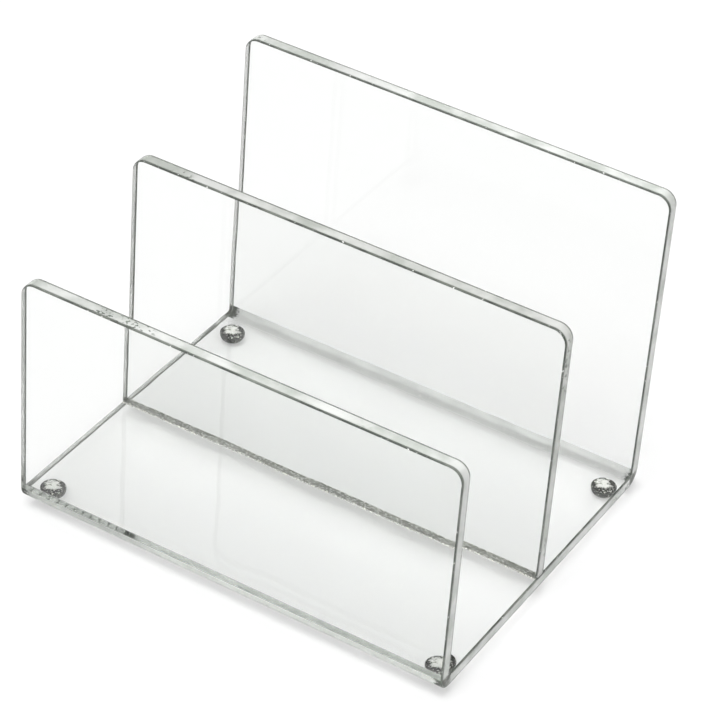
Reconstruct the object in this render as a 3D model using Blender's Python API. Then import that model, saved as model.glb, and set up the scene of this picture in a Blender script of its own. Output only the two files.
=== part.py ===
"""Clear acrylic desktop file sorter: a bent tray with two upright panels, a cemented divider and four feet.

The origin is on the desk top, under the middle of the sorter. +X is to the right, +Y to the rear
and +Z up. All lengths are in metres.
"""

import math

import bmesh
import bpy
from mathutils import Vector

# Driving dimensions
WIDTH = 0.207                # left to right, the same for the tray and the divider
DEPTH = 0.168                # front face of the front panel to rear face of the rear panel
SHEET = 0.00635              # thickness of the acrylic sheet
FRONT_HEIGHT = 0.114         # top of the front panel above the underside of the tray
DIVIDER_HEIGHT = 0.133       # top of the divider above the underside of the tray
REAR_HEIGHT = 0.1508         # top of the rear panel above the underside of the tray
DIVIDER_SETBACK = 0.0775     # front face of the front panel to front face of the divider
BEND_INSIDE_RADIUS = 0.0008  # inside of the two line bends
CORNER_RADIUS = 0.0065       # upper corners of all three panels
EDGE_ROUND = 0.0004          # polished arris along every cut edge
FOOT_DIAMETER = 0.0112
FOOT_HEIGHT = 0.0050
FOOT_FLAT_DIAMETER = 0.0036  # worn flat that the domed foot stands on
FOOT_SKIRT = 0.0008          # upright band of the foot below the tray
FOOT_SIDE_INSET = 0.0083     # foot's centre in from the side edge
FOOT_END_INSET = 0.0153      # foot's centre in from the front or rear face
SEAT_GAP = 0.0003            # clearance left where two pieces touch

# Smoothness of the round stretches
BEND_SEGMENTS = 10
CORNER_SEGMENTS = 12
EDGE_SEGMENTS = 2
FOOT_TURN_STEPS = 40
FOOT_DOME_STEPS = 8
SHARP_ANGLE = math.radians(30)

SAME_PLACE = SHEET / 100     # two coordinates closer than this are the same
WELD_DISTANCE = 1e-6

FRONT_Y = -DEPTH / 2
REAR_Y = DEPTH / 2
TRAY_BOTTOM = FOOT_HEIGHT
TRAY_FLOOR = TRAY_BOTTOM + SHEET


def clear_scene():
    for old in list(bpy.data.objects):
        bpy.data.objects.remove(old)


def principled(name, colour, roughness, transmission, ior):
    material = bpy.data.materials.new(name)
    material.use_nodes = True
    shader = material.node_tree.nodes["Principled BSDF"]
    shader.inputs["Base Color"].default_value = (*colour, 1.0)
    shader.inputs["Roughness"].default_value = roughness
    shader.inputs["Metallic"].default_value = 0.0
    shader.inputs["Transmission Weight"].default_value = transmission
    shader.inputs["IOR"].default_value = ior
    return material


def clear_acrylic():
    return principled("clear_acrylic", (0.93, 0.96, 0.94), 0.04, 0.95, 1.49)


def clear_polyurethane():
    return principled("clear_polyurethane", (0.86, 0.89, 0.86), 0.12, 0.85, 1.50)


def add_object(name, mesh, material):
    piece = bpy.data.objects.new(name, mesh)
    piece.data.materials.append(material)
    bpy.context.scene.collection.objects.link(piece)
    return piece


def side_extrusion(outline):
    """A slab across the whole width, from a closed outline of (y, z) points."""
    form = bmesh.new()
    left = [form.verts.new((-WIDTH / 2, y, z)) for y, z in outline]
    face = form.faces.new(left)
    grown = bmesh.ops.extrude_face_region(form, geom=[face])
    moved = [item for item in grown["geom"] if isinstance(item, bmesh.types.BMVert)]
    bmesh.ops.translate(form, verts=moved, vec=(WIDTH, 0, 0))
    bmesh.ops.recalc_face_normals(form, faces=form.faces)
    return form


def near(first, second):
    return abs(first - second) < SAME_PLACE


def edges_along_x(form, y, z):
    """The edge of the form that runs from side to side at (y, z)."""
    return [e for e in form.edges if all(near(v.co.y, y) and near(v.co.z, z) for v in e.verts)]


def edges_through_sheet(form, z):
    """The short edges at height z that run from the sheet's front face to its rear face."""
    level = [e for e in form.edges if all(near(v.co.z, z) for v in e.verts)]
    return [e for e in level if near(e.verts[0].co.x, e.verts[1].co.x)]


def round_edges(form, edges, radius, segments):
    bmesh.ops.bevel(
        form,
        geom=edges,
        offset=radius,
        offset_type="OFFSET",
        segments=segments,
        profile=0.5,
        affect="EDGES",
        clamp_overlap=False,
    )


def finish_sheet(name, form, material):
    mesh = bpy.data.meshes.new(name)
    form.to_mesh(mesh)
    form.free()
    piece = add_object(name, mesh, material)
    polish = piece.modifiers.new("polished_edges", "BEVEL")
    polish.width = EDGE_ROUND
    polish.segments = EDGE_SEGMENTS
    polish.limit_method = "ANGLE"
    polish.angle_limit = SHARP_ANGLE
    polish.use_clamp_overlap = False
    polish.harden_normals = True
    mesh.shade_smooth()
    mesh.set_sharp_from_angle(angle=SHARP_ANGLE)
    return piece


def make_tray(material):
    """Front panel, floor and rear panel: one sheet, line-bent twice into a U."""
    front_top = TRAY_BOTTOM + FRONT_HEIGHT
    rear_top = TRAY_BOTTOM + REAR_HEIGHT
    outline = [
        (FRONT_Y, TRAY_BOTTOM),
        (REAR_Y, TRAY_BOTTOM),
        (REAR_Y, rear_top),
        (REAR_Y - SHEET, rear_top),
        (REAR_Y - SHEET, TRAY_FLOOR),
        (FRONT_Y + SHEET, TRAY_FLOOR),
        (FRONT_Y + SHEET, front_top),
        (FRONT_Y, front_top),
    ]
    form = side_extrusion(outline)
    outside = edges_along_x(form, FRONT_Y, TRAY_BOTTOM) + edges_along_x(form, REAR_Y, TRAY_BOTTOM)
    round_edges(form, outside, BEND_INSIDE_RADIUS + SHEET, BEND_SEGMENTS)
    inside = edges_along_x(form, FRONT_Y + SHEET, TRAY_FLOOR)
    inside += edges_along_x(form, REAR_Y - SHEET, TRAY_FLOOR)
    round_edges(form, inside, BEND_INSIDE_RADIUS, BEND_SEGMENTS)
    top_corners = edges_through_sheet(form, front_top) + edges_through_sheet(form, rear_top)
    round_edges(form, top_corners, CORNER_RADIUS, CORNER_SEGMENTS)
    return finish_sheet("tray_body", form, material)


def make_divider(material):
    """Flat upright sheet, cemented on edge to the tray's floor."""
    front = FRONT_Y + DIVIDER_SETBACK
    bottom = TRAY_FLOOR + SEAT_GAP
    top = TRAY_BOTTOM + DIVIDER_HEIGHT
    outline = [(front, bottom), (front + SHEET, bottom), (front + SHEET, top), (front, top)]
    form = side_extrusion(outline)
    round_edges(form, edges_through_sheet(form, top), CORNER_RADIUS, CORNER_SEGMENTS)
    return finish_sheet("middle_divider", form, material)


def foot_profile():
    """Outer side of the foot from the adhesive face down to the flat, as (radius, height) points."""
    radius = FOOT_DIAMETER / 2
    top = FOOT_HEIGHT - SEAT_GAP
    skirt_end = top - FOOT_SKIRT
    flat_angle = math.acos(FOOT_FLAT_DIAMETER / FOOT_DIAMETER)
    dome_height = skirt_end / math.sin(flat_angle)
    points = [(radius, top)]
    for step in range(FOOT_DOME_STEPS + 1):
        angle = flat_angle * step / FOOT_DOME_STEPS
        points.append((radius * math.cos(angle), skirt_end - dome_height * math.sin(angle)))
    return points


def foot_mesh():
    """Domed bumper turned about its own upright axis, with a flat adhesive face on top."""
    form = bmesh.new()
    points = foot_profile()
    rim = [form.verts.new((r, 0, z)) for r, z in points]
    apex_top = form.verts.new((0, 0, points[0][1]))
    apex_bottom = form.verts.new((0, 0, points[-1][1]))
    chain = [apex_top, *rim, apex_bottom]
    edges = [form.edges.new(pair) for pair in zip(chain, chain[1:])]
    bmesh.ops.spin(
        form,
        geom=chain + edges,
        cent=(0, 0, 0),
        axis=(0, 0, 1),
        angle=math.tau,
        steps=FOOT_TURN_STEPS,
        use_merge=True,
    )
    bmesh.ops.remove_doubles(form, verts=form.verts, dist=WELD_DISTANCE)
    bmesh.ops.recalc_face_normals(form, faces=form.faces)
    mesh = bpy.data.meshes.new("foot")
    form.to_mesh(mesh)
    form.free()
    mesh.shade_smooth()
    mesh.set_sharp_from_angle(angle=SHARP_ANGLE)
    return mesh


def make_feet(material):
    mesh = foot_mesh()
    mesh.materials.append(material)
    side = WIDTH / 2 - FOOT_SIDE_INSET
    end = DEPTH / 2 - FOOT_END_INSET
    places = {
        "foot_front_left": (-side, -end),
        "foot_front_right": (side, -end),
        "foot_rear_left": (-side, end),
        "foot_rear_right": (side, end),
    }
    for name, (x, y) in places.items():
        foot = bpy.data.objects.new(name, mesh)
        foot.location = Vector((x, y, 0))
        bpy.context.scene.collection.objects.link(foot)


def main():
    clear_scene()
    acrylic = clear_acrylic()
    make_tray(acrylic)
    make_divider(acrylic)
    make_feet(clear_polyurethane())


main()
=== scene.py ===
"""Looks for the clear acrylic desktop file sorter: crowned sheets, cement seam, bumper feet, studio.

Everything is in metres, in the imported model's frame: +X right, +Y to the rear, +Z up.
"""

import math
import random

import bmesh
import bpy
from mathutils import Matrix, Quaternion, Vector


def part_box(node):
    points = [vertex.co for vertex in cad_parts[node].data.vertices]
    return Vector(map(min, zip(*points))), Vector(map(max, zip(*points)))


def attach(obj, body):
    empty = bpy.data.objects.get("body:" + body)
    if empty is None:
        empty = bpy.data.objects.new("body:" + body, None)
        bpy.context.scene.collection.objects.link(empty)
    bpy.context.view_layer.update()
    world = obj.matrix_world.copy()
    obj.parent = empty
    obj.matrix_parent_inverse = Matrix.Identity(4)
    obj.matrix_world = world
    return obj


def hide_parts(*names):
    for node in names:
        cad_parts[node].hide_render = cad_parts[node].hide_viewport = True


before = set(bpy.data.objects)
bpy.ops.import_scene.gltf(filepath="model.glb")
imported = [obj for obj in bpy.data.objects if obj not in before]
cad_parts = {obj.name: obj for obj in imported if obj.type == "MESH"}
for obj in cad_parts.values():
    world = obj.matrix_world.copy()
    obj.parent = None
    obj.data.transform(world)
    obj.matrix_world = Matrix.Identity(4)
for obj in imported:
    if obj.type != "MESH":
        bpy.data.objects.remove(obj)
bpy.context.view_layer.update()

# --- sizes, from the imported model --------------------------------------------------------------

TRAY_LOW, TRAY_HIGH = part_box("tray_body")
DIVIDER_LOW, DIVIDER_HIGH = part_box("middle_divider")
SHEET = DIVIDER_HIGH.y - DIVIDER_LOW.y       # thickness of the acrylic
DIVIDER_MIDDLE = (DIVIDER_LOW.y + DIVIDER_HIGH.y) / 2
HALF_WIDTH = TRAY_HIGH.x
TRAY_FLOOR = TRAY_LOW.z + SHEET
SAME_PLACE = SHEET / 100
FOOT_NODES = ("foot_front_left", "foot_front_right", "foot_rear_left", "foot_rear_right")


def front_panel_top():
    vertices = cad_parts["tray_body"].data.vertices
    return max(v.co.z for v in vertices if v.co.y < TRAY_LOW.y + SHEET + SAME_PLACE)


def outer_bend_radius():
    """How far in from the tray's front face its flat underside starts."""
    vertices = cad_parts["tray_body"].data.vertices
    return min(v.co.y for v in vertices if v.co.z < TRAY_LOW.z + SAME_PLACE) - TRAY_LOW.y


FRONT_TOP = front_panel_top()
OUTER_BEND = outer_bend_radius()
BEND_RADIUS = OUTER_BEND - SHEET / 2         # at the middle of the sheet
BEND_RUN = BEND_RADIUS * math.pi / 2
CORNER_RADIUS = 0.0065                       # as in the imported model

# Lengths along the middle of the tray's flat blank, from the front panel's top edge
FRONT_RUN = FRONT_TOP - TRAY_LOW.z - OUTER_BEND
FLOOR_RUN = TRAY_HIGH.y - TRAY_LOW.y - 2 * OUTER_BEND
REAR_RUN = TRAY_HIGH.z - TRAY_LOW.z - OUTER_BEND
FRONT_BEND = FRONT_RUN
REAR_BEND = FRONT_RUN + BEND_RUN + FLOOR_RUN
TRAY_LENGTH = REAR_BEND + BEND_RUN + REAR_RUN
DIVIDER_LENGTH = DIVIDER_HIGH.z - DIVIDER_LOW.z

# Rounding of the cut edges: a superellipse, so nearly flat in the middle
EDGE_DEPTH = 0.0006
CROWN_POWER = 2.8
EDGE_STEPS = 20
ARRIS_STEPS = 5                              # of those steps, how many each side count as the arris
JOINT_EDGE_SHARE = 0.15                      # the cemented edge was milled square before gluing

# Mesh attribute: 0 along the middle of a cut edge, 1 at its two sides
TOWARDS_ARRIS = "towards_arris"

# Fineness of the sheets' meshes
COLUMNS = 48
CORNER_STEPS = 14
FLAT_SPACING = 0.012
BEND_SPACING = 0.0005

# A line bend is never quite even: the heated strip ripples a little
RIPPLE_DEPTH = 0.00009
RIPPLE_REACH = 0.003
INNER_RIPPLE_PHASE = 2.4

# The ripple's waves, in radians per metre
RIPPLE_LONG = 310
RIPPLE_SHORT = 517
RIPPLE_SLANT = 90

# Order of the materials on a sheet
FACE_SLOT = 0
BEND_SLOT = 1
CUT_EDGE_SLOT = 2
ARRIS_SLOT = 3
HEATED_EDGE_SLOT = 4
JOINT_SLOT = 5


# --- shared by all pieces -------------------------------------------------------------------------

SHARP_ANGLE = math.radians(40)


def mesh_of(form, name):
    """The finished mesh, smooth but for its sharp edges."""
    mesh = bpy.data.meshes.new(name)
    form.to_mesh(mesh)
    form.free()
    mesh.shade_smooth()
    mesh.set_sharp_from_angle(angle=SHARP_ANGLE)
    return mesh


def add_piece(name, mesh, materials, node=None):
    piece = bpy.data.objects.new(name, mesh)
    for material in materials:
        mesh.materials.append(material)
    bpy.context.scene.collection.objects.link(piece)
    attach(piece, "root")
    if node:
        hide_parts(node)
    return piece


# --- sheets: flat blanks with crowned edges, bent into place --------------------------------------

def edge_profile():
    """(drawn in, out from the middle) pairs round a cut edge, from the outer face to the inner one."""
    pairs = []
    for step in range(EDGE_STEPS + 1):
        angle = math.pi * step / EDGE_STEPS
        outward = math.copysign(abs(math.cos(angle)) ** (2 / CROWN_POWER), math.cos(angle))
        drawn_in = EDGE_DEPTH * (1 - abs(math.sin(angle)) ** (2 / CROWN_POWER))
        pairs.append((drawn_in, outward * SHEET / 2))
    return pairs


def evenly(start, end, spacing):
    """Places from start to end, both included, no further apart than the spacing."""
    count = math.ceil((end - start) / spacing)
    return [start + (end - start) * step / count for step in range(count + 1)]


def straight_rows(bends, length):
    """Rows between the two rounded ends of a blank, close together round its bends."""
    stops, spacings = [CORNER_RADIUS], []
    for bend in bends:
        stops += [bend - RIPPLE_REACH, bend, bend + BEND_RUN, bend + BEND_RUN + RIPPLE_REACH]
        spacings += [FLAT_SPACING, BEND_SPACING, BEND_SPACING, BEND_SPACING]
    stops.append(length - CORNER_RADIUS)
    spacings.append(FLAT_SPACING)
    rows = []
    for start, end, spacing in zip(stops, stops[1:], spacings):
        rows += evenly(start, end, spacing)[1:]
    return rows[:-1]


def blank_rows(length, middle, drawn_in, square_start):
    """(along, half width) of each row of a blank whose outline is drawn in by that much."""
    radius = CORNER_RADIUS - drawn_in
    turns = [math.pi / 2 * step / CORNER_STEPS for step in range(CORNER_STEPS + 1)]
    centre = HALF_WIDTH - CORNER_RADIUS
    corner = [(radius * math.cos(turn), centre + radius * math.sin(turn)) for turn in turns]
    start = [(CORNER_RADIUS - reach, half) for reach, half in corner]
    if square_start:
        start = [(drawn_in * JOINT_EDGE_SHARE, HALF_WIDTH - drawn_in)]
    end = [(length - CORNER_RADIUS + reach, half) for reach, half in reversed(corner)]
    return start + [(along, HALF_WIDTH - drawn_in) for along in middle] + end


def columns():
    """Shares of the half width, from -1 at the left to 1 at the right."""
    return [2 * step / COLUMNS - 1 for step in range(COLUMNS + 1)]


def ring(rows, out, place):
    """Points round a blank at one level of its thickness, with all the columns on its end rows."""
    first, last = rows[0], rows[-1]
    points = [place(first[0], first[1] * share, out) for share in columns()]
    points += [place(along, half, out) for along, half in rows[1:-1]]
    points += [place(last[0], last[1] * share, out) for share in reversed(columns())]
    points += [place(along, -half, out) for along, half in reversed(rows[1:-1])]
    return points


def add_big_face(form, rows, border, out, place, slot_of):
    """One of the sheet's two large faces, a grid that shares the ring round it."""
    last = len(rows) - 1
    grid = [border[:COLUMNS + 1]]
    for index in range(1, last):
        along, half = rows[index]
        inner = [form.verts.new(place(along, half * share, out)) for share in columns()[1:-1]]
        grid.append([border[-index], *inner, border[COLUMNS + index]])
    grid.append(border[COLUMNS + last:2 * COLUMNS + last + 1][::-1])
    for index in range(last):
        slot = slot_of((rows[index][0] + rows[index + 1][0]) / 2)
        here, beyond = grid[index], grid[index + 1]
        for column in range(COLUMNS):
            corners = (here[column], here[column + 1], beyond[column + 1], beyond[column])
            face = form.faces.new(corners)
            face.material_index = slot


def flat_slot(along):
    """A large face without a bend has one material at any place along it."""
    return FACE_SLOT


def edge_slot(level, index, rows, slot_of, square_start):
    """Material of one facet of the cut edge, from its step round the edge and its place along the ring."""
    last = len(rows) - 1
    if index < COLUMNS:
        row = 0
    elif index < COLUMNS + last:
        row = index - COLUMNS
    elif index < 2 * COLUMNS + last:
        row = last
    else:
        row = 2 * COLUMNS + 2 * last - index - 1
    if square_start and index < COLUMNS:
        return JOINT_SLOT
    if min(level, EDGE_STEPS - 1 - level) < ARRIS_STEPS:
        return ARRIS_SLOT
    if 0 < row < last and slot_of((rows[row][0] + rows[row + 1][0]) / 2) == BEND_SLOT:
        return HEATED_EDGE_SLOT
    return CUT_EDGE_SLOT


def add_cut_edge(form, rings, rows, slot_of, square_start):
    """The crowned edge all round: arris, cut edge, arris, and the joint where it is cemented."""
    size = len(rings[0])
    for level in range(EDGE_STEPS):
        upper, lower = rings[level], rings[level + 1]
        for index in range(size):
            after = (index + 1) % size
            face = form.faces.new((upper[index], upper[after], lower[after], lower[index]))
            face.material_index = edge_slot(level, index, rows, slot_of, square_start)


def sheet_mesh(name, length, middle, place, slot_of, square_start=False):
    """One closed sheet; place puts a point of its flat blank where it belongs on the object."""
    form = bmesh.new()
    shade = form.verts.layers.float.new(TOWARDS_ARRIS)
    levels = [
        (blank_rows(length, middle, drawn_in, square_start), out) for drawn_in, out in edge_profile()
    ]
    rings = [[form.verts.new(point) for point in ring(rows, out, place)] for rows, out in levels]
    for (rows, out), border in zip(levels, rings):
        for vertex in border:
            vertex[shade] = abs(out) / (SHEET / 2)
    add_cut_edge(form, rings, levels[0][0], slot_of, square_start)
    (outer_rows, outer), (inner_rows, inner) = levels[0], levels[-1]
    add_big_face(form, outer_rows, rings[0], outer, place, slot_of)
    add_big_face(form, inner_rows, rings[-1], inner, place, flat_slot)
    bmesh.ops.recalc_face_normals(form, faces=form.faces)
    mesh = bpy.data.meshes.new(name)
    form.to_mesh(mesh)
    form.free()
    mesh.shade_smooth()
    return mesh


def ripple(along, across, out):
    """How far the heated strip has sunk at a bend."""
    depth = 0.0
    for bend in (FRONT_BEND, REAR_BEND):
        distance = abs(along - bend - BEND_RUN / 2) / (BEND_RUN / 2 + RIPPLE_REACH)
        if distance < 1:
            phase = 1.0 if out > 0 else INNER_RIPPLE_PHASE
            wave = math.sin(across * RIPPLE_LONG + phase)
            wave += math.sin(across * RIPPLE_SHORT + 2 * phase + along * RIPPLE_SLANT)
            depth += RIPPLE_DEPTH * (1 - distance ** 2) ** 2 * (0.5 + wave / 4)
    return depth


def tray_place(along, across, out):
    """Where a point of the flat blank ends up once the sheet is bent into the tray."""
    out -= ripple(along, across, out)
    front = TRAY_LOW.y + OUTER_BEND
    rear = TRAY_HIGH.y - OUTER_BEND
    level = TRAY_LOW.z + OUTER_BEND
    reach = BEND_RADIUS + out
    if along <= FRONT_RUN:
        return Vector((across, front - reach, FRONT_TOP - along))
    if along <= FRONT_RUN + BEND_RUN:
        turn = (along - FRONT_RUN) / BEND_RADIUS
        return Vector((across, front - reach * math.cos(turn), level - reach * math.sin(turn)))
    if along <= REAR_BEND:
        return Vector((across, front + along - FRONT_RUN - BEND_RUN, level - reach))
    if along <= REAR_BEND + BEND_RUN:
        turn = (along - REAR_BEND) / BEND_RADIUS
        return Vector((across, rear + reach * math.sin(turn), level - reach * math.cos(turn)))
    return Vector((across, rear + reach, level + along - REAR_BEND - BEND_RUN))


def tray_slot(along):
    at_bend = any(bend < along < bend + BEND_RUN for bend in (FRONT_BEND, REAR_BEND))
    return BEND_SLOT if at_bend else FACE_SLOT


def divider_place(along, across, out):
    return Vector((across, DIVIDER_MIDDLE - out, DIVIDER_LOW.z + along))


def add_sheet(name, mesh, materials, node):
    piece = add_piece(name, mesh, materials, node)
    normals = piece.modifiers.new("flat_faces_stay_flat", "WEIGHTED_NORMAL")
    normals.weight = 100
    return piece


def make_tray(materials):
    middle = straight_rows((FRONT_BEND, REAR_BEND), TRAY_LENGTH)
    mesh = sheet_mesh("bent_tray", TRAY_LENGTH, middle, tray_place, tray_slot)
    add_sheet("bent_tray", mesh, materials, "tray_body")


def make_divider(materials):
    middle = straight_rows((), DIVIDER_LENGTH)
    mesh = sheet_mesh(
        "upright_divider", DIVIDER_LENGTH, middle, divider_place, flat_slot, square_start=True
    )
    add_sheet("upright_divider", mesh, materials, "middle_divider")


# --- cement seam ----------------------------------------------------------------------------------

CEMENT_SPACING = 0.0012
CEMENT_END_GAP = 0.0006          # the seam stops just short of the side edges
CEMENT_CLEARANCE = 0.00003       # hair's breadth between the cement and the sheets it wets
BEAD_WIDTH = 0.0006
BEAD_HEIGHT = 0.0005
BEAD_STEPS = 5
BEAD_WAVES = ((230, 1), (610, 3), (1370, -1))    # radians per metre, and share of the side's phase


def bead_size(across, side):
    """The squeezed-out bead is uneven: a share of its full size, from about a half to one."""
    wave = sum(math.sin(across * pitch + share * side) for pitch, share in BEAD_WAVES)
    return 0.75 + wave / 12


def cement_section(across):
    """Outline of the seam at one place across: a film under the divider with a hollow bead each side."""
    low = TRAY_FLOOR + CEMENT_CLEARANCE
    under = DIVIDER_LOW.z - CEMENT_CLEARANCE
    points = []
    front = DIVIDER_LOW.y - CEMENT_CLEARANCE
    rear = DIVIDER_HIGH.y + CEMENT_CLEARANCE
    for face, side in ((front, -1), (rear, 1)):
        width = BEAD_WIDTH * bead_size(across, side)
        height = BEAD_HEIGHT * bead_size(across, 2 * side)
        bead = []
        for step in range(BEAD_STEPS + 1):
            angle = math.pi / 2 * step / BEAD_STEPS
            outward = side * width * (1 - math.sin(angle))
            bead.append((face + outward, low + height * (1 - math.cos(angle))))
        bead.append((face, under))
        points += bead if side < 0 else bead[::-1]
    return [Vector((across, y, z)) for y, z in points]


def lofted(name, sections):
    """A closed solid through a row of outlines, with flat ends."""
    form = bmesh.new()
    rings = [[form.verts.new(point) for point in section] for section in sections]
    for first, second in zip(rings, rings[1:]):
        for index in range(len(first)):
            after = (index + 1) % len(first)
            form.faces.new((first[index], first[after], second[after], second[index]))
    form.faces.new(rings[0])
    form.faces.new(rings[-1])
    bmesh.ops.recalc_face_normals(form, faces=form.faces)
    return mesh_of(form, name)


def make_cement_seam(material):
    half = HALF_WIDTH - CEMENT_END_GAP
    sections = [cement_section(across) for across in evenly(-half, half, CEMENT_SPACING)]
    add_piece("cement_seam", lofted("cement_seam", sections), [material])


# --- bumper feet ----------------------------------------------------------------------------------

FOOT_SKIRT = 0.0008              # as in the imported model
FOOT_FLAT_RADIUS = 0.0018
FOOT_TURN_STEPS = 96
FOOT_DOME_STEPS = 20
FOOT_EASE = 0.00018              # rounding of the bumper's upper rim
FOOT_EASE_STEPS = 4
FOOT_UNDERSIDE_SHARE = 0.85      # an extra ring just inside the flat's edge
ADHESIVE_RIM = 0.00025           # how far the adhesive stops short of the bumper's rim
ADHESIVE_CLEARANCE = 0.00002
ADHESIVE_TOP_STEP = 0.0001       # how much narrower the disc is at its top than at its middle
ADHESIVE_LOW_STEP = 0.00005      # and at its underside
BUBBLES_PER_FOOT = 26
BUBBLE_SPREAD = (0.05, 0.8)      # share of the disc's area, from its middle
BUBBLE_SIZES = (0.00012, 0.0004)
BUBBLE_OVALS = (0.6, 1.0)        # width as a share of the length
BUBBLE_FLATNESS = 0.36           # share of the adhesive's thickness


def foot_size(node):
    low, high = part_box(node)
    centre = Vector(((low.x + high.x) / 2, (low.y + high.y) / 2, 0))
    return centre, (high.x - low.x) / 2, high.z


def turned(form, profile, steps, outline=None):
    """A closed solid turned about the upright axis from (radius, height) points.

    The outline, where there is one, scales the radius by the angle.
    """
    rings = []
    for step in range(steps):
        angle = math.tau * step / steps
        scale = outline(angle) if outline else 1.0
        rings.append([
            form.verts.new((r * scale * math.cos(angle), r * scale * math.sin(angle), z))
            for r, z in profile
        ])
    first_pole = form.verts.new((0, 0, profile[0][1]))
    last_pole = form.verts.new((0, 0, profile[-1][1]))
    for first, second in zip(rings, rings[1:] + rings[:1]):
        form.faces.new((first_pole, first[0], second[0]))
        form.faces.new((last_pole, second[-1], first[-1]))
        for index in range(len(profile) - 1):
            form.faces.new((first[index], first[index + 1], second[index + 1], second[index]))
    bmesh.ops.recalc_face_normals(form, faces=form.faces)


def bumper_profile(radius, top):
    """From the moulded top rim, down the skirt and the dome, to the worn flat it stands on."""
    skirt_end = top - FOOT_SKIRT
    flat_angle = math.acos(FOOT_FLAT_RADIUS / radius)
    dome_height = skirt_end / math.sin(flat_angle)
    points = [(radius - 3 * FOOT_EASE, top)]
    for step in range(FOOT_EASE_STEPS + 1):
        angle = math.pi / 2 * step / FOOT_EASE_STEPS
        reach = radius - FOOT_EASE * (1 - math.sin(angle))
        points.append((reach, top - FOOT_EASE * (1 - math.cos(angle))))
    for step in range(FOOT_DOME_STEPS + 1):
        angle = flat_angle * step / FOOT_DOME_STEPS
        points.append((radius * math.cos(angle), skirt_end - dome_height * math.sin(angle)))
    points.append((FOOT_FLAT_RADIUS * FOOT_UNDERSIDE_SHARE, 0.0))
    return points


def add_bubbles(form, radius, low, high, chance):
    """Flat air pockets in the adhesive: cavities, so their faces look inward."""
    for _ in range(BUBBLES_PER_FOOT):
        reach = radius * math.sqrt(chance.uniform(*BUBBLE_SPREAD))
        angle = chance.uniform(0, math.tau)
        size = chance.uniform(*BUBBLE_SIZES)
        flat = (high - low) * BUBBLE_FLATNESS
        centre = Vector((reach * math.cos(angle), reach * math.sin(angle), (low + high) / 2))
        squashed = Matrix.Diagonal((size, size * chance.uniform(*BUBBLE_OVALS), flat, 1))
        shape = Matrix.Translation(centre) @ squashed
        made = bmesh.ops.create_icosphere(form, subdivisions=2, radius=1.0, matrix=shape)
        faces = {face for vertex in made["verts"] for face in vertex.link_faces}
        bmesh.ops.reverse_faces(form, faces=list(faces))


def ragged_outline(lean):
    """The adhesive disc isn't quite round."""
    return lambda angle: 0.985 + 0.01 * math.sin(3 * angle + lean) + 0.005 * math.sin(11 * angle)


def make_bumper(node, material):
    centre, radius, top = foot_size(node)
    form = bmesh.new()
    turned(form, bumper_profile(radius, top), FOOT_TURN_STEPS)
    name = node.replace("foot", "bumper")
    bumper = add_piece(name, mesh_of(form, name), [material], node)
    bumper.location = centre


def make_adhesive(node, material, seed):
    centre, radius, top = foot_size(node)
    chance = random.Random(seed)
    lean = chance.uniform(0, math.tau)
    low, high = top + ADHESIVE_CLEARANCE, TRAY_LOW.z - ADHESIVE_CLEARANCE
    reach = radius - ADHESIVE_RIM
    profile = [
        (reach - ADHESIVE_TOP_STEP, high),
        (reach, (low + high) / 2),
        (reach - ADHESIVE_LOW_STEP, low),
    ]
    form = bmesh.new()
    turned(form, profile, FOOT_TURN_STEPS, ragged_outline(lean))
    add_bubbles(form, reach, low, high, chance)
    name = node.replace("foot", "adhesive")
    adhesive = add_piece(name, mesh_of(form, name), [material])
    adhesive.location = centre


# --- materials --------------------------------------------------------------------------------

def new_material(name):
    """A node material, with its tree and its shader."""
    material = bpy.data.materials.new(name)
    material.use_nodes = True
    tree = material.node_tree
    return material, tree, tree.nodes["Principled BSDF"]


def noise(tree, scale, detail=2.0, stretch=(1.0, 1.0, 1.0)):
    """Smooth noise: scale is patches per metre, times the stretch along each axis."""
    place = tree.nodes.new("ShaderNodeTexCoord")
    size = tree.nodes.new("ShaderNodeMapping")
    size.inputs["Scale"].default_value = stretch
    pattern = tree.nodes.new("ShaderNodeTexNoise")
    pattern.inputs["Scale"].default_value = scale
    pattern.inputs["Detail"].default_value = detail
    tree.links.new(place.outputs["Object"], size.inputs["Vector"])
    tree.links.new(size.outputs["Vector"], pattern.inputs["Vector"])
    return pattern.outputs["Fac"]


def remap(tree, value, low, high, to_low, to_high):
    node = tree.nodes.new("ShaderNodeMapRange")
    node.interpolation_type = "SMOOTHSTEP"
    node.inputs["From Min"].default_value = low
    node.inputs["From Max"].default_value = high
    node.inputs["To Min"].default_value = to_low
    node.inputs["To Max"].default_value = to_high
    tree.links.new(value, node.inputs["Value"])
    return node.outputs["Result"]


def mix_colours(tree, factor, first, second):
    """First and second are each a colour or another node's colour output."""
    node = tree.nodes.new("ShaderNodeMix")
    node.data_type = "RGBA"
    for socket, colour in ((node.inputs[6], first), (node.inputs[7], second)):
        if isinstance(colour, tuple):
            socket.default_value = (*colour, 1.0)
        else:
            tree.links.new(colour, socket)
    tree.links.new(factor, node.inputs[0])
    return node.outputs[2]


def seen_from_inside(tree):
    """1 where a ray meets the surface from within the plastic."""
    return tree.nodes.new("ShaderNodeNewGeometry").outputs["Backfacing"]


def flank(tree, start, end):
    """0 along the middle of a cut edge, rising to 1 towards its two sides."""
    place = tree.nodes.new("ShaderNodeAttribute")
    place.attribute_name = TOWARDS_ARRIS
    return remap(tree, place.outputs["Fac"], start, end, 0.0, 1.0)


def add_values(tree, first, second, operation="ADD"):
    node = tree.nodes.new("ShaderNodeMath")
    node.operation = operation
    tree.links.new(first, node.inputs[0])
    tree.links.new(second, node.inputs[1])
    return node.outputs["Value"]


def bump(tree, height, strength, distance):
    node = tree.nodes.new("ShaderNodeBump")
    node.inputs["Strength"].default_value = strength
    node.inputs["Distance"].default_value = distance
    tree.links.new(height, node.inputs["Height"])
    return node.outputs["Normal"]


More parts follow.
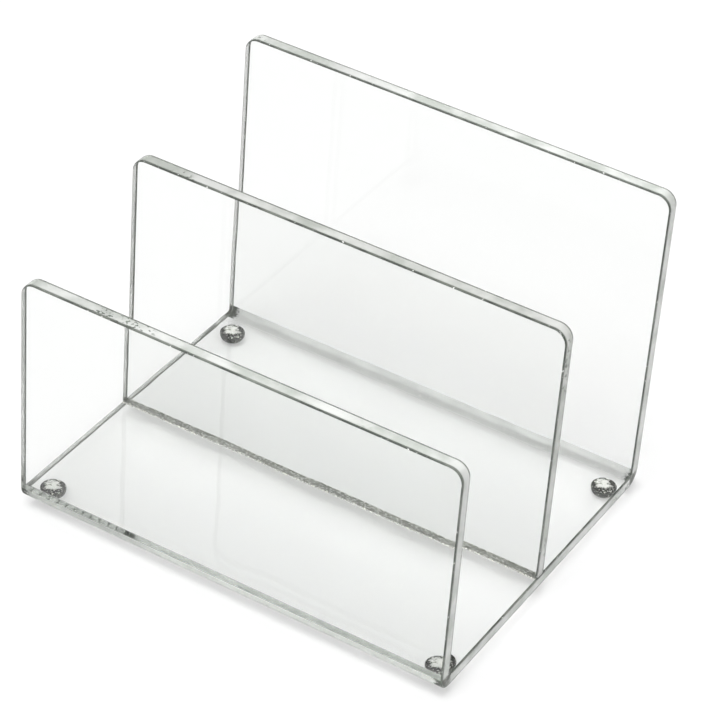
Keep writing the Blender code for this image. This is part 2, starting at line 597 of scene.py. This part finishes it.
def tint_inside(tree, colour=(0.85, 0.88, 0.85), density=6.0):
    """The faint tint that the plastic shows along its length."""
    tint = tree.nodes.new("ShaderNodeVolumeAbsorption")
    tint.inputs["Color"].default_value = (*colour, 1.0)
    tint.inputs["Density"].default_value = density
    tree.links.new(tint.outputs["Volume"], tree.nodes["Material Output"].inputs["Volume"])


def glass_like(shader, colour, transmission, ior=1.49):
    shader.inputs["Base Color"].default_value = (*colour, 1.0)
    shader.inputs["Transmission Weight"].default_value = transmission
    shader.inputs["IOR"].default_value = ior


# The faces mirror less than real acrylic does, so the images within the sheets stay faint
FACE_REFLECTION = (0.35, 0.35, 0.35, 1.0)


def polished_face():
    """The sheet's large faces: clear and very slightly wavy, with faint handling marks."""
    material, tree, shader = new_material("acrylic_polished_face")
    glass_like(shader, (0.945, 0.95, 0.945), 1.0)
    shader.inputs["Specular Tint"].default_value = FACE_REFLECTION
    marks = noise(tree, 260.0, 6.0, (1.0, 1.0, 0.06))
    tree.links.new(remap(tree, marks, 0.66, 0.74, 0.0, 0.05), shader.inputs["Roughness"])
    waviness = bump(tree, noise(tree, 45.0, 1.0), 1.0, 0.00005)
    tree.links.new(waviness, shader.inputs["Normal"])
    tint_inside(tree)
    return material


BEND_END = 0.0045                # how far in from the side edges the bends' ends are darkened with painted shade
BEND_END_RAGGED = 0.0015


def from_middle(tree):
    """Distance to the left or right of the object's middle."""
    place = tree.nodes.new("ShaderNodeTexCoord")
    parts = tree.nodes.new("ShaderNodeSeparateXYZ")
    distance = tree.nodes.new("ShaderNodeMath")
    distance.operation = "ABSOLUTE"
    tree.links.new(place.outputs["Object"], parts.inputs["Vector"])
    tree.links.new(parts.outputs["X"], distance.inputs[0])
    return distance.outputs["Value"]


def heated_bend():
    """The outside of a line bend: lightly frosted and mottled by the heater, with painted glints, and
    painted shade darkening its two ends.
    """
    material, tree, shader = new_material("acrylic_heated_bend")
    glass_like(shader, (0.84, 0.85, 0.83), 0.85)
    haze = remap(tree, noise(tree, 110.0, 4.0, (0.5, 1.0, 1.0)), 0.35, 0.65, 0.0, 1.0)
    hazed = mix_colours(tree, haze, (0.80, 0.81, 0.79), (0.96, 0.97, 0.95))
    # Painted highlight: small near-white glints set into the bend's colour.
    painted_glints = remap(tree, noise(tree, 520.0, 2.0, (0.5, 1.0, 1.0)), 0.62, 0.68, 0.0, 1.0)
    with_painted_glints = mix_colours(tree, painted_glints, hazed, (0.98, 0.98, 0.96))
    ragged = remap(tree, noise(tree, 600.0, 3.0), 0.2, 0.8, -BEND_END_RAGGED, BEND_END_RAGGED)
    reach = add_values(tree, from_middle(tree), ragged)
    # Painted shade: the bend's colour turns near black towards its two ends.
    end = remap(tree, reach, HALF_WIDTH - BEND_END, HALF_WIDTH - BEND_END / 2, 0.0, 1.0)
    colour = mix_colours(tree, end, with_painted_glints, (0.02, 0.025, 0.018))
    tree.links.new(colour, shader.inputs["Base Color"])
    peel = noise(tree, 300.0, 3.0)
    tree.links.new(remap(tree, peel, 0.35, 0.65, 0.3, 0.5), shader.inputs["Roughness"])
    tree.links.new(bump(tree, peel, 1.0, 0.0003), shader.inputs["Normal"])
    tint_inside(tree)
    return material


def cut_edge():
    """Sawn and buffed edges: light, with painted shade darkening their two sides, a darker grey
    painted-shade copy where seen from within the plastic, and gathered chips.
    """
    material, tree, shader = new_material("acrylic_cut_edge")
    glass_like(shader, (0.85, 0.86, 0.84), 0.6)
    smudges = remap(tree, noise(tree, 60.0, 4.0), 0.35, 0.65, 0.0, 1.0)
    middle = mix_colours(tree, smudges, (0.60, 0.63, 0.59), (0.95, 0.95, 0.94))
    gathered = remap(tree, noise(tree, 22.0, 1.0), 0.58, 0.64, 0.0, 1.0)
    chips = remap(tree, noise(tree, 700.0, 2.0), 0.56, 0.62, 0.0, 1.0)
    chipping = add_values(tree, gathered, chips, "MULTIPLY")
    chipped = mix_colours(tree, chipping, middle, (0.16, 0.19, 0.16))
    # Painted shade: the edge's colour darkens towards its two sides, where its rounding turns into the
    # faces.
    outside = mix_colours(tree, flank(tree, 0.5, 0.85), chipped, (0.16, 0.17, 0.15))
    # Painted shade: a darker grey copy of the colour for rays that meet the edge from within the plastic.
    painted_inside_copy = mix_colours(tree, smudges, (0.32, 0.33, 0.31), (0.50, 0.51, 0.48))
    colour = mix_colours(tree, seen_from_inside(tree), outside, painted_inside_copy)
    tree.links.new(colour, shader.inputs["Base Color"])
    grain = noise(tree, 6000.0, 2.0)
    tree.links.new(remap(tree, grain, 0.3, 0.7, 0.18, 0.26), shader.inputs["Roughness"])
    tree.links.new(bump(tree, grain, 0.1, 0.000004), shader.inputs["Normal"])
    tint_inside(tree)
    return material


def heated_edge():
    """The cut edge where the sheet was heated and bent: painted shade, mottled from near black to grey."""
    material, tree, shader = new_material("acrylic_heated_edge")
    glass_like(shader, (0.4, 0.4, 0.4), 0.35)
    mottle = remap(tree, noise(tree, 500.0, 3.0), 0.5, 0.7, 0.0, 1.0)
    # Painted shade: the cut edge along a bend is coloured near black in patches.
    colour = mix_colours(tree, mottle, (0.035, 0.04, 0.03), (0.45, 0.46, 0.42))
    tree.links.new(colour, shader.inputs["Base Color"])
    tree.links.new(remap(tree, mottle, 0.0, 1.0, 0.35, 0.15), shader.inputs["Roughness"])
    tint_inside(tree)
    return material


def arris():
    """The turn from a face into a cut edge: painted shade makes it a thin dark line, with small bright
    nicks.
    """
    material, tree, shader = new_material("acrylic_arris")
    glass_like(shader, (0.3, 0.3, 0.3), 0.3)
    worn = remap(tree, noise(tree, 90.0, 4.0), 0.4, 0.7, 0.0, 1.0)
    nicks = remap(tree, noise(tree, 900.0, 2.0), 0.68, 0.72, 0.0, 1.0)
    # Painted shade: the arris is coloured near black, unevenly (the worn mask only varies how dark the
    # painted line is).
    line = mix_colours(tree, worn, (0.045, 0.055, 0.045), (0.14, 0.155, 0.135))
    nicked = mix_colours(tree, nicks, line, (0.95, 0.95, 0.94))
    # Painted shade: a lighter grey copy of the colour for rays that meet the arris from within the
    # plastic.
    painted_inside_copy = mix_colours(tree, worn, (0.28, 0.29, 0.27), (0.44, 0.45, 0.42))
    colour = mix_colours(tree, seen_from_inside(tree), nicked, painted_inside_copy)
    tree.links.new(colour, shader.inputs["Base Color"])
    tree.links.new(remap(tree, nicks, 0.0, 1.0, 0.15, 0.4), shader.inputs["Roughness"])
    tint_inside(tree)
    return material


def cemented_edge():
    """The divider's lower edge, wetted by the cement: olive grey with trapped bubbles."""
    material, tree, shader = new_material("acrylic_cemented_edge")
    glass_like(shader, (0.45, 0.45, 0.40), 0.1)
    bubbles = noise(tree, 750.0, 3.0)
    clear = remap(tree, bubbles, 0.52, 0.64, 0.0, 1.0)
    patches = remap(tree, noise(tree, 130.0, 3.0), 0.4, 0.6, 0.0, 1.0)
    dark = mix_colours(tree, patches, (0.20, 0.21, 0.17), (0.34, 0.35, 0.30))
    colour = mix_colours(tree, clear, dark, (0.80, 0.81, 0.76))
    tree.links.new(colour, shader.inputs["Base Color"])
    tree.links.new(remap(tree, bubbles, 0.3, 0.7, 0.5, 0.25), shader.inputs["Roughness"])
    tint_inside(tree)
    return material


def solvent_cement():
    """Set cement in the seam: clear, lumpy and slightly yellow-grey."""
    material, tree, shader = new_material("solvent_cement")
    glass_like(shader, (0.86, 0.86, 0.80), 0.8)
    lumps = noise(tree, 900.0, 4.0)
    cloudy = remap(tree, lumps, 0.35, 0.6, 0.0, 1.0)
    colour = mix_colours(tree, cloudy, (0.62, 0.62, 0.55), (0.95, 0.95, 0.92))
    tree.links.new(colour, shader.inputs["Base Color"])
    tree.links.new(remap(tree, lumps, 0.3, 0.7, 0.35, 0.1), shader.inputs["Roughness"])
    tree.links.new(bump(tree, lumps, 0.5, 0.0001), shader.inputs["Normal"])
    return material


def moulded_polyurethane():
    """The bumpers: clear rubber with a near-black colour, painted shade for the dark a dome shows, and
    dull streaks down the dome.
    """
    material, tree, shader = new_material("polyurethane_bumper")
    glass_like(shader, (0.3, 0.3, 0.3), 0.9, 1.5)
    streaks = remap(tree, noise(tree, 900.0, 2.0, (1.0, 1.0, 0.25)), 0.54, 0.62, 0.0, 1.0)
    # Painted shade: the bumper's colour is near black away from its streaks.
    colour = mix_colours(tree, streaks, (0.03, 0.036, 0.024), (0.62, 0.65, 0.56))
    tree.links.new(colour, shader.inputs["Base Color"])
    haze = noise(tree, 800.0, 4.0)
    tree.links.new(remap(tree, haze, 0.4, 0.7, 0.06, 0.3), shader.inputs["Roughness"])
    tree.links.new(bump(tree, haze, 0.25, 0.00006), shader.inputs["Normal"])
    tint_inside(tree, (0.80, 0.84, 0.74), 60.0)
    return material


# The pale middle sits off the bumper's centre, so the painted shade ring round it is wider on one side
PALE_MIDDLE_OFFSET = (0.0009, -0.0008, -TRAY_LOW.z)
PALE_MIDDLE_INNER = 0.0027
PALE_MIDDLE_OUTER = 0.0034
PALE_MIDDLE_RAGGED = 0.0014


def bumper_adhesive():
    """The adhesive: pale where it was pressed down, with a ring of painted shade round that, near black
    and flecked with light specks.
    """
    material, tree, shader = new_material("bumper_adhesive")
    glass_like(shader, (0.5, 0.5, 0.45), 0.5, 1.08)
    place = tree.nodes.new("ShaderNodeTexCoord")
    shift = tree.nodes.new("ShaderNodeVectorMath")
    shift.operation = "ADD"
    shift.inputs[1].default_value = PALE_MIDDLE_OFFSET
    length = tree.nodes.new("ShaderNodeVectorMath")
    length.operation = "LENGTH"
    tree.links.new(place.outputs["Object"], shift.inputs[0])
    tree.links.new(shift.outputs["Vector"], length.inputs[0])
    ragged = remap(tree, noise(tree, 900.0, 3.0), 0.2, 0.8, -PALE_MIDDLE_RAGGED, PALE_MIDDLE_RAGGED)
    distance = add_values(tree, length.outputs["Value"], ragged)
    # Painted shade: outside the pale middle the adhesive's colour turns near black, for the dark ring a
    # bumper shows.
    painted_shade_ring = remap(tree, distance, PALE_MIDDLE_INNER, PALE_MIDDLE_OUTER, 0.0, 1.0)
    specks = remap(tree, noise(tree, 1500.0, 2.0), 0.57, 0.62, 0.0, 1.0)
    dark = mix_colours(tree, specks, (0.004, 0.005, 0.003), (0.85, 0.86, 0.80))
    pressed = remap(tree, noise(tree, 1100.0, 2.0), 0.36, 0.44, 0.0, 1.0)
    patch = mix_colours(tree, pressed, (0.12, 0.14, 0.10), (0.95, 0.95, 0.92))
    colour = mix_colours(tree, painted_shade_ring, patch, dark)
    tree.links.new(colour, shader.inputs["Base Color"])
    tree.links.new(remap(tree, painted_shade_ring, 0.0, 1.0, 0.05, 0.4), shader.inputs["Roughness"])
    return material


# --- studio -----------------------------------------------------------------------------------

FLOOR_RADIUS = 9.0
FLOOR_SEGMENTS = 96
FLOOR_GREY = 0.375
FLOOR_GLOW = 0.38                # the table is lit from below as well, so shadows on it stay light

# (sine of elevation, level) of the soft surround, from the horizon up
SKY_LEVELS = (
    (0.0, 1.0), (0.14, 1.0), (0.2, 0.25), (0.42, 0.3), (0.5, 1.2), (0.7, 1.2), (0.8, 0.9), (1.0, 0.9),
)
KEY_AZIMUTH = math.radians(178)  # nearly straight in front, from +Y towards +X
KEY_ELEVATION = math.radians(67)
KEY_INNER = math.radians(5)
KEY_OUTER = math.radians(20)
KEY_LEVEL = 16.0
LIGHT_BOUNCES = 48


def make_floor():
    form = bmesh.new()
    bmesh.ops.create_circle(form, cap_ends=True, segments=FLOOR_SEGMENTS, radius=FLOOR_RADIUS)
    mesh = mesh_of(form, "studio_floor")
    floor = bpy.data.objects.new("studio_floor", mesh)
    bpy.context.scene.collection.objects.link(floor)
    material, tree, shader = new_material("studio_floor")
    shader.inputs["Base Color"].default_value = (FLOOR_GREY, FLOOR_GREY, FLOOR_GREY, 1.0)
    shader.inputs["Roughness"].default_value = 0.9
    shader.inputs["Specular IOR Level"].default_value = 0.0
    shader.inputs["Emission Color"].default_value = (1.0, 1.0, 1.0, 1.0)
    shader.inputs["Emission Strength"].default_value = FLOOR_GLOW
    mesh.materials.append(material)


def make_world():
    """A pale surround with a darker band above the horizon, and a soft key light high in front."""
    world = bpy.data.worlds.new("studio")
    bpy.context.scene.world = world
    world.use_nodes = True
    tree = world.node_tree
    background = tree.nodes["Background"]
    coordinates = tree.nodes.new("ShaderNodeTexCoord")
    parts = tree.nodes.new("ShaderNodeSeparateXYZ")
    ramp = tree.nodes.new("ShaderNodeValToRGB")
    tree.links.new(coordinates.outputs["Generated"], parts.inputs["Vector"])
    tree.links.new(parts.outputs["Z"], ramp.inputs["Fac"])
    while len(ramp.color_ramp.elements) < len(SKY_LEVELS):
        ramp.color_ramp.elements.new(0.5)
    for element, (height, level) in zip(ramp.color_ramp.elements, SKY_LEVELS):
        element.position = height
        element.color = (level, level, level, 1)
    towards = tree.nodes.new("ShaderNodeVectorMath")
    towards.operation = "DOT_PRODUCT"
    towards.inputs[1].default_value = (
        math.sin(KEY_AZIMUTH) * math.cos(KEY_ELEVATION),
        math.cos(KEY_AZIMUTH) * math.cos(KEY_ELEVATION),
        math.sin(KEY_ELEVATION),
    )
    tree.links.new(coordinates.outputs["Generated"], towards.inputs[0])
    facing = towards.outputs["Value"]
    key = remap(tree, facing, math.cos(KEY_OUTER), math.cos(KEY_INNER), 0.0, KEY_LEVEL)
    light = add_values(tree, ramp.outputs["Color"], key)
    tree.links.new(light, background.inputs["Color"])
    background.inputs["Strength"].default_value = 1.0


def let_light_through_sheets():
    """Light runs the length of a sheet by many inner reflections, so its path is allowed to be long."""
    cycles = bpy.context.scene.cycles
    cycles.max_bounces = LIGHT_BOUNCES
    cycles.glossy_bounces = LIGHT_BOUNCES
    cycles.transmission_bounces = LIGHT_BOUNCES
    cycles.blur_glossy = 0.0


# --- camera -----------------------------------------------------------------------------------

CAMERA_AZIMUTH = math.radians(28.999)
CAMERA_ELEVATION = math.radians(36.804)
CAMERA_ROLL = math.radians(4.572)
CAMERA_PLACE = Vector((0.52629, -0.93586, 0.87954))
CAMERA_LENS_MM = 161.98
CAMERA_SENSOR_MM = 36.0


def make_camera():
    data = bpy.data.cameras.new("camera")
    camera = bpy.data.objects.new("camera", data)
    bpy.context.scene.collection.objects.link(camera)
    data.sensor_width = CAMERA_SENSOR_MM
    data.lens = CAMERA_LENS_MM
    back = Vector((
        math.sin(CAMERA_AZIMUTH) * math.cos(CAMERA_ELEVATION),
        -math.cos(CAMERA_AZIMUTH) * math.cos(CAMERA_ELEVATION),
        math.sin(CAMERA_ELEVATION),
    ))
    upright = (-back).to_track_quat("-Z", "Y")
    camera.rotation_mode = "QUATERNION"
    camera.rotation_quaternion = Quaternion(back, CAMERA_ROLL) @ upright
    camera.location = CAMERA_PLACE
    bpy.context.scene.camera = camera


def main():
    bpy.context.scene.view_settings.view_transform = "Standard"
    make_camera()
    let_light_through_sheets()
    sheet_materials = [polished_face(), heated_bend(), cut_edge(), arris(), heated_edge()]
    make_tray(sheet_materials)
    make_divider([*sheet_materials, cemented_edge()])
    make_cement_seam(solvent_cement())
    bumper_material = moulded_polyurethane()
    adhesive_material = bumper_adhesive()
    for seed, node in enumerate(FOOT_NODES):
        make_bumper(node, bumper_material)
        make_adhesive(node, adhesive_material, seed)
    make_floor()
    make_world()


main()
